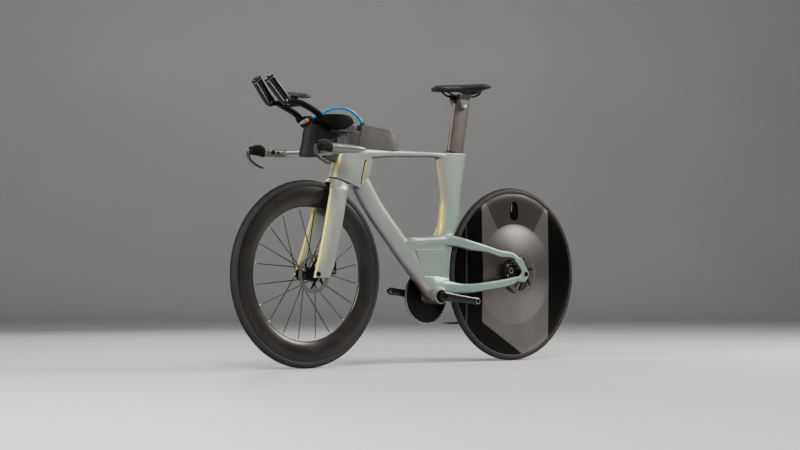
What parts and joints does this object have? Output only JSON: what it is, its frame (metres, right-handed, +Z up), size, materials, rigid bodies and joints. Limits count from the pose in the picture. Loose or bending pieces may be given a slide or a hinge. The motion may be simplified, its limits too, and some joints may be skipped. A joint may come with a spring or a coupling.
{
  "type": "time trial bike",
  "caption": "Time trial bicycle with an aero frame, deep front wheel, lens disc rear wheel, disc brakes, armrest cockpit with drinking hose and chain drive; wheels, steering and controls move.",
  "frame": {"origin": "on the ground, halfway between the wheels' outer ends, under the bike's middle plane", "axes": "+X forward, +Y to the rider's left, +Z up"},
  "size_m": [1.708, 0.4206, 1.0753],
  "materials": {
    "frame_paint": "pale pearl lacquer, satin gloss",
    "carbon": "clear-coated carbon laminate",
    "black_plastic": "fine grain matte",
    "tyre": "smooth road tread",
    "steel": "brushed",
    "alloy": "anodised satin",
    "black_alloy": "black anodised satin",
    "saddle_cover": "smooth synthetic cover",
    "pad_cover": "knitted cover on foam",
    "hose": "clear blue tube",
    "valve": "grey soft rubber",
    "screen": "glossy screen"
  },
  "bodies": {
    "frame": {"frame": "frame_paint", "headset_bearings": "steel", "bottom_bracket_cups": "black_alloy", "seatpost_clamp": "black_alloy", "rear_brake_caliper": "black_alloy", "rear_axle": "black_alloy", "storage_box": "carbon", "lid_hinge_pin": "steel", "derailleur_b_knuckle": "black_alloy", "chain": "steel"},
    "compartment_cover": {"compartment_cover": "frame_paint"},
    "storage_lid": {"storage_lid": "carbon"},
    "steering": {"fork": "frame_paint", "stem": "carbon", "base_bar": "frame_paint", "lever_bodies": "black_plastic", "lever_pivot_pins": "steel", "riser_plates": "alloy", "arm_cups": "carbon", "arm_pads": "pad_cover", "hand_grips": "black_plastic", "front_bottle": "carbon", "bike_computer": "screen", "computer_mount": "black_plastic", "front_brake_caliper": "black_alloy", "front_axle": "black_alloy", "drink_hose": "hose", "bite_valve": "valve", "cockpit_bolts": "steel"},
    "front_wheel": {"front_rim": "carbon", "front_tyre": "tyre", "front_spokes": "black_alloy", "front_hub": "black_alloy", "front_rotor": "steel", "front_valve": "black_alloy"},
    "rear_wheel": {"rear_disc": "carbon", "rear_tyre": "tyre", "rear_hub": "black_alloy", "rear_rotor": "steel", "rear_valve": "black_alloy"},
    "crankset": {"crank_spindle": "steel", "left_crank": "carbon", "right_crank": "carbon", "chainring": "black_alloy"},
    "cassette": {"cassette": "steel"},
    "derailleur_link": {"derailleur_link": "black_alloy"},
    "derailleur_knuckle": {"derailleur_knuckle": "black_alloy"},
    "derailleur_cage": {"derailleur_cage": "black_alloy"},
    "guide_pulley": {"guide_pulley": "black_alloy"},
    "tension_pulley": {"tension_pulley": "black_alloy"},
    "seatpost": {"seatpost": "carbon"},
    "saddle": {"saddle": "saddle_cover", "saddle_rails": "steel", "saddle_clamp": "black_alloy"},
    "brake_lever_left": {"brake_lever_left": "black_alloy"},
    "brake_lever_right": {"brake_lever_right": "black_alloy"},
    "shift_button_left": {"shift_button_left": "black_plastic"},
    "shift_button_right": {"shift_button_right": "black_plastic"},
    "grip_button_left": {"grip_button_left": "black_plastic"},
    "grip_button_right": {"grip_button_right": "black_plastic"}
  },
  "joints": [
    {"name": "steering", "type": "hinge", "parent": "frame", "child": "steering", "pos_m": [0.46794, 0, 0.339], "axis": [-0.2924, 0, 0.9563], "range_deg": [-45, 45], "deforming": ["drink_hose"]},
    {"name": "front_wheel_spin", "type": "hinge", "parent": "steering", "child": "front_wheel", "pos_m": [0.515, 0, 0.339], "axis": [0, 1, 0], "continuous": true},
    {"name": "rear_wheel_spin", "type": "hinge", "parent": "frame", "child": "rear_wheel", "pos_m": [-0.515, 0, 0.339], "axis": [0, 1, 0], "continuous": true},
    {"name": "crank_spin", "type": "hinge", "parent": "frame", "child": "crankset", "pos_m": [-0.102, 0, 0.255], "axis": [0, 1, 0], "continuous": true, "deforming": ["chain"]},
    {"name": "cassette_spin", "type": "hinge", "parent": "frame", "child": "cassette", "pos_m": [-0.515, -0.045, 0.339], "axis": [0, 1, 0], "continuous": true},
    {"name": "derailleur_shift", "type": "hinge", "parent": "frame", "child": "derailleur_link", "pos_m": [-0.54, -0.088, 0.294], "axis": [0.8, 0, 0.6], "range_deg": [-25, 20], "deforming": ["chain"]},
    {"name": "derailleur_knuckle_turn", "type": "hinge", "parent": "derailleur_link", "child": "derailleur_knuckle", "pos_m": [-0.51745, -0.07432, 0.26393], "axis": [0.8, 0, 0.6], "range_deg": [-20, 25]},
    {"name": "cage_swing", "type": "hinge", "parent": "derailleur_knuckle", "child": "derailleur_cage", "pos_m": [-0.505, -0.06, 0.2415], "axis": [0, 1, 0], "range_deg": [-20, 30], "stiffness_Nm_per_rad": 1.5, "deforming": ["chain"]},
    {"name": "guide_pulley_spin", "type": "hinge", "parent": "derailleur_cage", "child": "guide_pulley", "pos_m": [-0.505, -0.045, 0.2415], "axis": [0, 1, 0], "continuous": true},
    {"name": "tension_pulley_spin", "type": "hinge", "parent": "derailleur_cage", "child": "tension_pulley", "pos_m": [-0.47273, -0.045, 0.17491], "axis": [0, 1, 0], "continuous": true},
    {"name": "seatpost_height", "type": "slide", "parent": "frame", "child": "seatpost", "axis": [-0.1697, 0, 0.9855], "range_m": [-0.02, 0.06]},
    {"name": "saddle_tilt", "type": "hinge", "parent": "seatpost", "child": "saddle", "pos_m": [-0.238, 0, 0.984], "axis": [0, 1, 0], "range_deg": [-8, 8]},
    {"name": "brake_lever_left", "type": "hinge", "parent": "steering", "child": "brake_lever_left", "pos_m": [0.612, 0.196, 0.79], "axis": [0, 1, 0], "range_deg": [0, 18], "stiffness_Nm_per_rad": 0.8, "springref_deg": -14.32},
    {"name": "brake_lever_right", "type": "hinge", "parent": "steering", "child": "brake_lever_right", "pos_m": [0.612, -0.196, 0.79], "axis": [0, 1, 0], "range_deg": [0, 18], "stiffness_Nm_per_rad": 0.8, "springref_deg": -14.32},
    {"name": "shift_button_left", "type": "slide", "parent": "steering", "child": "shift_button_left", "axis": [0, 1, 0], "range_m": [0, 0.0012], "stiffness_N_per_m": 1500, "springref_m": -0.0006},
    {"name": "shift_button_right", "type": "slide", "parent": "steering", "child": "shift_button_right", "axis": [0, -1, 0], "range_m": [0, 0.0012], "stiffness_N_per_m": 1500, "springref_m": -0.0006},
    {"name": "grip_button_left", "type": "slide", "parent": "steering", "child": "grip_button_left", "axis": [-0.6538, 0.0806, -0.7523], "range_m": [0, 0.0015], "stiffness_N_per_m": 1500, "springref_m": -0.0006},
    {"name": "grip_button_right", "type": "slide", "parent": "steering", "child": "grip_button_right", "axis": [-0.6538, -0.0806, -0.7523], "range_m": [0, 0.0015], "stiffness_N_per_m": 1500, "springref_m": -0.0006},
    {"name": "storage_lid", "type": "hinge", "parent": "frame", "child": "storage_lid", "pos_m": [0.1155, 0, 0.8695], "axis": [0, -1, 0], "range_deg": [0, 100]},
    {"name": "compartment_cover", "type": "slide", "parent": "frame", "child": "compartment_cover", "axis": [0, 1, 0], "range_m": [0, 0.06]}
  ],
  "couplings": [
    {"joint": "cassette_spin", "follows": "crank_spin", "ratio": 3.0588},
    {"joint": "guide_pulley_spin", "follows": "crank_spin", "ratio": -4.3333},
    {"joint": "tension_pulley_spin", "follows": "crank_spin", "ratio": 4.3333},
    {"joint": "derailleur_knuckle_turn", "follows": "derailleur_shift", "ratio": -1}
  ]
}
